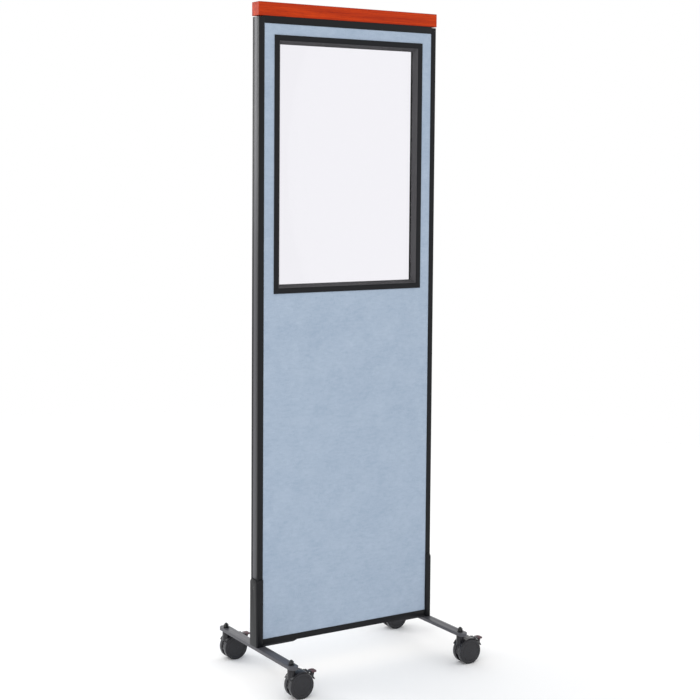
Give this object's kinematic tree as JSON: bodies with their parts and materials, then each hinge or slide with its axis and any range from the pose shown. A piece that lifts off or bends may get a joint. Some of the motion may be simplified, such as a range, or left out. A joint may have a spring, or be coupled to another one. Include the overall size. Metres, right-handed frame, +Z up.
{
  "type": "partition wall",
  "caption": "Mobile partition wall: fabric-covered panel with a window, black metal edge frame, cherry wooden cap and T-shaped feet on braked casters",
  "frame": {"origin": "On the floor, at the middle of the footprint box with all casters trailing toward +X", "axes": "+X along the wall's width, -Y is the front face with the casters' near side, +Z up"},
  "size_m": [0.685, 0.4564, 1.984],
  "materials": {
    "fabric": "woven light blue melange upholstery fabric",
    "frame_black": "satin black powder coat",
    "trim_charcoal": "satin charcoal powder coat",
    "foot_charcoal": "fine-textured charcoal powder coat",
    "leg_grey": "satin grey powder coat",
    "cherry": "stained cherry, satin lacquer",
    "clear_pane": "clear acrylic",
    "black_rubber": "matt",
    "zinc_steel": "zinc plated",
    "black_zinc": "zinc plated, passivated black",
    "black_nylon": "moulded, lightly textured",
    "maroon_plastic": "moulded, satin; the lever below its foot pad is black",
    "softwood": "planed softwood",
    "kraft_paper": "paper honeycomb, matt"
  },
  "bodies": {
    "wall": {"top_cap": "cherry", "cap_screws": "zinc_steel", "corner_brackets": "zinc_steel", "frame_screws": "zinc_steel", "base_bolts": "zinc_steel", "sleeve_screws": "black_zinc", "caster_stems": "black_zinc", "stem_washers": "black_zinc", "stem_nuts": "black_zinc", "top_rail": "frame_black", "bottom_rail": "frame_black", "left_stile": "frame_black", "right_stile": "frame_black", "left_end_trim": "trim_charcoal", "right_end_trim": "trim_charcoal", "front_fabric_panel": "fabric", "rear_fabric_panel": "fabric", "honeycomb_core": "kraft_paper", "left_inner_stud": "softwood", "right_inner_stud": "softwood", "window_head_batten": "softwood", "window_sill_batten": "softwood", "window_pane": "clear_pane", "front_gasket": "black_rubber", "rear_gasket": "black_rubber", "front_window_top_bar": "trim_charcoal", "front_window_bottom_bar": "trim_charcoal", "front_window_left_bar": "trim_charcoal", "front_window_right_bar": "trim_charcoal", "rear_window_top_bar": "trim_charcoal", "rear_window_bottom_bar": "trim_charcoal", "rear_window_left_bar": "trim_charcoal", "rear_window_right_bar": "trim_charcoal", "left_sleeve": "frame_black", "right_sleeve": "frame_black", "left_leg": "leg_grey", "right_leg": "leg_grey", "left_base_plate": "foot_charcoal", "right_base_plate": "foot_charcoal"},
    "front_left_fork": {"front_left_caster_hood": "black_nylon", "front_left_caster_pins": "zinc_steel"},
    "front_left_front_wheel_turning": {"front_left_front_wheel": "black_nylon"},
    "front_left_back_wheel_turning": {"front_left_back_wheel": "black_nylon"},
    "front_left_brake": {"front_left_brake_lever": "maroon_plastic"},
    "front_right_fork": {"front_right_caster_hood": "black_nylon", "front_right_caster_pins": "zinc_steel"},
    "front_right_front_wheel_turning": {"front_right_front_wheel": "black_nylon"},
    "front_right_back_wheel_turning": {"front_right_back_wheel": "black_nylon"},
    "front_right_brake": {"front_right_brake_lever": "maroon_plastic"},
    "rear_left_fork": {"rear_left_caster_hood": "black_nylon", "rear_left_caster_pins": "zinc_steel"},
    "rear_left_front_wheel_turning": {"rear_left_front_wheel": "black_nylon"},
    "rear_left_back_wheel_turning": {"rear_left_back_wheel": "black_nylon"},
    "rear_left_brake": {"rear_left_brake_lever": "maroon_plastic"},
    "rear_right_fork": {"rear_right_caster_hood": "black_nylon", "rear_right_caster_pins": "zinc_steel"},
    "rear_right_front_wheel_turning": {"rear_right_front_wheel": "black_nylon"},
    "rear_right_back_wheel_turning": {"rear_right_back_wheel": "black_nylon"},
    "rear_right_brake": {"rear_right_brake_lever": "maroon_plastic"}
  },
  "joints": [
    {"name": "front_left_swivel", "type": "hinge", "parent": "wall", "child": "front_left_fork", "pos_m": [-0.3275, -0.2032, 0.08], "axis": [0, 0, 1], "continuous": true},
    {"name": "front_left_front_wheel_spin", "type": "hinge", "parent": "front_left_fork", "child": "front_left_front_wheel_turning", "pos_m": [-0.302, -0.21695, 0.038], "axis": [0, 1, 0], "continuous": true},
    {"name": "front_left_back_wheel_spin", "type": "hinge", "parent": "front_left_fork", "child": "front_left_back_wheel_turning", "pos_m": [-0.302, -0.18945, 0.038], "axis": [0, 1, 0], "continuous": true},
    {"name": "front_left_brake_press", "type": "hinge", "parent": "front_left_fork", "child": "front_left_brake", "pos_m": [-0.27436, -0.2032, 0.07094], "axis": [0, 1, 0], "range_deg": [0, 12]},
    {"name": "front_right_swivel", "type": "hinge", "parent": "wall", "child": "front_right_fork", "pos_m": [0.2645, -0.2032, 0.08], "axis": [0, 0, 1], "continuous": true},
    {"name": "front_right_front_wheel_spin", "type": "hinge", "parent": "front_right_fork", "child": "front_right_front_wheel_turning", "pos_m": [0.29, -0.21695, 0.038], "axis": [0, 1, 0], "continuous": true},
    {"name": "front_right_back_wheel_spin", "type": "hinge", "parent": "front_right_fork", "child": "front_right_back_wheel_turning", "pos_m": [0.29, -0.18945, 0.038], "axis": [0, 1, 0], "continuous": true},
    {"name": "front_right_brake_press", "type": "hinge", "parent": "front_right_fork", "child": "front_right_brake", "pos_m": [0.31764, -0.2032, 0.07094], "axis": [0, 1, 0], "range_deg": [0, 12]},
    {"name": "rear_left_swivel", "type": "hinge", "parent": "wall", "child": "rear_left_fork", "pos_m": [-0.3275, 0.2032, 0.08], "axis": [0, 0, 1], "continuous": true},
    {"name": "rear_left_front_wheel_spin", "type": "hinge", "parent": "rear_left_fork", "child": "rear_left_front_wheel_turning", "pos_m": [-0.302, 0.18945, 0.038], "axis": [0, 1, 0], "continuous": true},
    {"name": "rear_left_back_wheel_spin", "type": "hinge", "parent": "rear_left_fork", "child": "rear_left_back_wheel_turning", "pos_m": [-0.302, 0.21695, 0.038], "axis": [0, 1, 0], "continuous": true},
    {"name": "rear_left_brake_press", "type": "hinge", "parent": "rear_left_fork", "child": "rear_left_brake", "pos_m": [-0.27436, 0.2032, 0.07094], "axis": [0, 1, 0], "range_deg": [0, 12]},
    {"name": "rear_right_swivel", "type": "hinge", "parent": "wall", "child": "rear_right_fork", "pos_m": [0.2645, 0.2032, 0.08], "axis": [0, 0, 1], "continuous": true},
    {"name": "rear_right_front_wheel_spin", "type": "hinge", "parent": "rear_right_fork", "child": "rear_right_front_wheel_turning", "pos_m": [0.29, 0.18945, 0.038], "axis": [0, 1, 0], "continuous": true},
    {"name": "rear_right_back_wheel_spin", "type": "hinge", "parent": "rear_right_fork", "child": "rear_right_back_wheel_turning", "pos_m": [0.29, 0.21695, 0.038], "axis": [0, 1, 0], "continuous": true},
    {"name": "rear_right_brake_press", "type": "hinge", "parent": "rear_right_fork", "child": "rear_right_brake", "pos_m": [0.31764, 0.2032, 0.07094], "axis": [0, 1, 0], "range_deg": [0, 12]}
  ]
}
